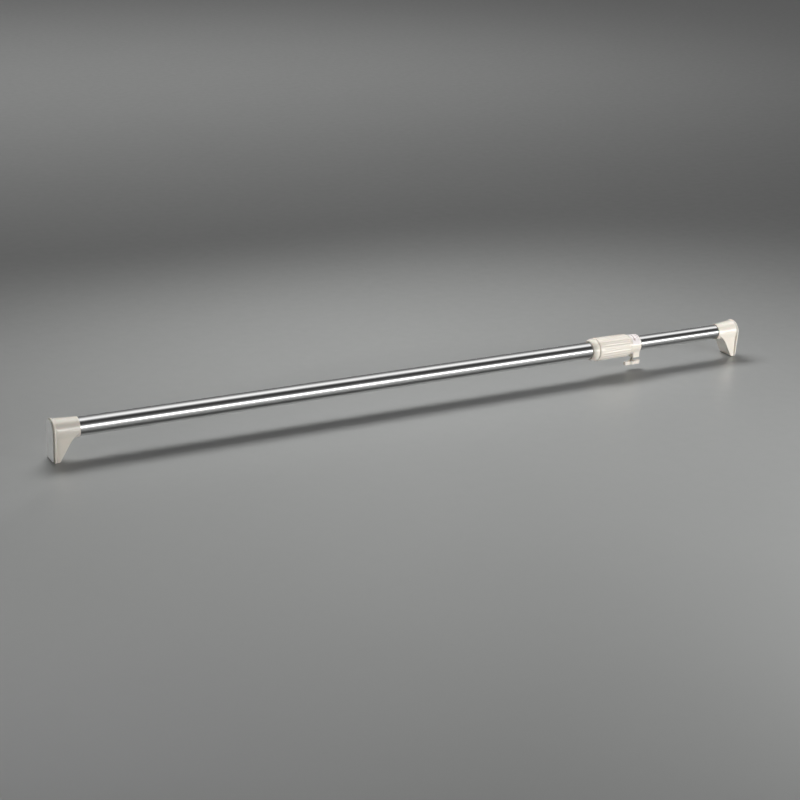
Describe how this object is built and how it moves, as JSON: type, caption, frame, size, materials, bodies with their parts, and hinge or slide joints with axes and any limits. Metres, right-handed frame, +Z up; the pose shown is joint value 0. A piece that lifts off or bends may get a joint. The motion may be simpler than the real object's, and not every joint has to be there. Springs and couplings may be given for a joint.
{
  "type": "bed cargo bar",
  "caption": "Telescopic tension bar with a screw jack grip, a wing lock screw, and gusseted end caps whose rubber pads brace between two walls.",
  "frame": {"origin": "on the floor, under the middle of the bar as posed", "axes": "+X along the bar from the fixed outer tube's pad to the inner tube's pad, +Y across the bar, +Z up from the feet"},
  "size_m": [1.404, 0.045, 0.0735],
  "materials": {
    "ivory_plastic": "satin moulded",
    "pad_rubber": "matte",
    "stainless_tube": "polished",
    "plated_steel": "zinc plated",
    "acetal": "natural",
    "label_film": "satin film"
  },
  "bodies": {
    "outer_bar": {"left_end_cap": "ivory_plastic", "left_pad": "pad_rubber", "left_tube_plug": "acetal", "left_cap_screw": "plated_steel", "outer_tube": "stainless_tube", "jack_collar": "ivory_plastic", "key_washer": "plated_steel", "snap_ring": "plated_steel", "thrust_washer": "plated_steel"},
    "grip": {"grip": "ivory_plastic", "jack_nut": "acetal", "grip_end_ring": "ivory_plastic"},
    "jack": {"jack_sleeve": "acetal", "clamp_neck": "ivory_plastic", "clamp_nut": "plated_steel", "direction_label": "label_film"},
    "shoe": {"clamp_shoe": "acetal"},
    "lock": {"lock_screw": "plated_steel", "wing_knob": "ivory_plastic"},
    "guide": {"tube_guide": "acetal"},
    "inner_bar": {"inner_tube": "stainless_tube", "right_end_cap": "ivory_plastic", "right_pad": "pad_rubber", "right_tube_plug": "acetal", "right_cap_screw": "plated_steel"}
  },
  "joints": [
    {"name": "grip_turn", "type": "hinge", "parent": "outer_bar", "child": "grip", "pos_m": [0.3995, 0, 0.051], "axis": [-1, 0, 0], "range_deg": [0, 1620]},
    {"name": "jack_push", "type": "slide", "parent": "outer_bar", "child": "jack", "axis": [1, 0, 0], "range_m": [0, 0.018]},
    {"name": "shoe_press", "type": "slide", "parent": "jack", "child": "shoe", "axis": [0, 0, 1], "range_m": [-0.00175, 0]},
    {"name": "lock_turn", "type": "hinge", "parent": "shoe", "child": "lock", "pos_m": [0.454, 0, 0.015], "axis": [0, 0, 1], "range_deg": [-630, 0]},
    {"name": "telescope", "type": "slide", "parent": "jack", "child": "guide", "axis": [1, 0, 0], "range_m": [-0.191, 0.6]},
    {"name": "foot_twist", "type": "hinge", "parent": "guide", "child": "inner_bar", "pos_m": [0.2, 0, 0.051], "axis": [1, 0, 0], "continuous": true}
  ],
  "couplings": [
    {"joint": "jack_push", "follows": "grip_turn", "m_per_rad": 0.00063662},
    {"joint": "shoe_press", "follows": "lock_turn", "m_per_rad": 0.00015915}
  ]
}
